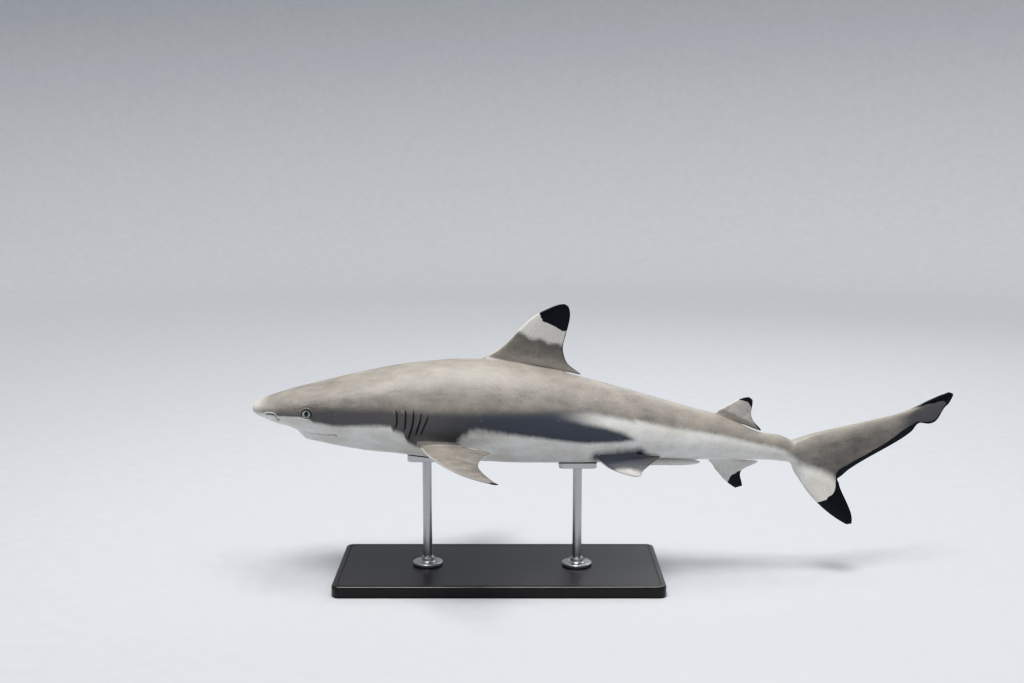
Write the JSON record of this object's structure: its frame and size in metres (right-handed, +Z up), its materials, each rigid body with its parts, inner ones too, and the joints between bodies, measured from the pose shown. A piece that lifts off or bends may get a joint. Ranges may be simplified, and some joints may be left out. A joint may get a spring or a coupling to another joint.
{
  "type": "blacktip reef shark model on a display stand",
  "caption": "Life-size still model of an adult male blacktip reef shark, swimming, held up by rods on a flat display base.",
  "frame": {"origin": "centre of the overall box's footprint, on the floor that the base stands on", "axes": "+X towards the tail (the head points to -X), -Y towards the animal's left side, +Z up"},
  "size_m": [1.224, 0.4752, 0.4788],
  "materials": {
    "skin": "satin, smooth to the eye, grey-brown above and white below with black fin tips",
    "eye": "polished, wet-looking",
    "base": "satin black lacquer",
    "rod": "brushed"
  },
  "bodies": {
    "root": {"head": "skin", "lower_jaw": "skin", "gills": "skin", "trunk": "skin", "tail_stalk": "skin", "tail_fin_upper": "skin", "tail_fin_lower": "skin", "dorsal_fin_first": "skin", "dorsal_fin_second": "skin", "anal_fin": "skin", "eye_left": "eye", "eye_right": "eye", "pectoral_fin_left": "skin", "pectoral_fin_right": "skin", "pelvic_fin_left": "skin", "pelvic_fin_right": "skin", "clasper_left": "skin", "clasper_right": "skin", "stand_base": "base", "stand_rod_front": "rod", "stand_rod_rear": "rod", "stand_saddle_front": "rod", "stand_saddle_rear": "rod"}
  },
  "joints": []
}
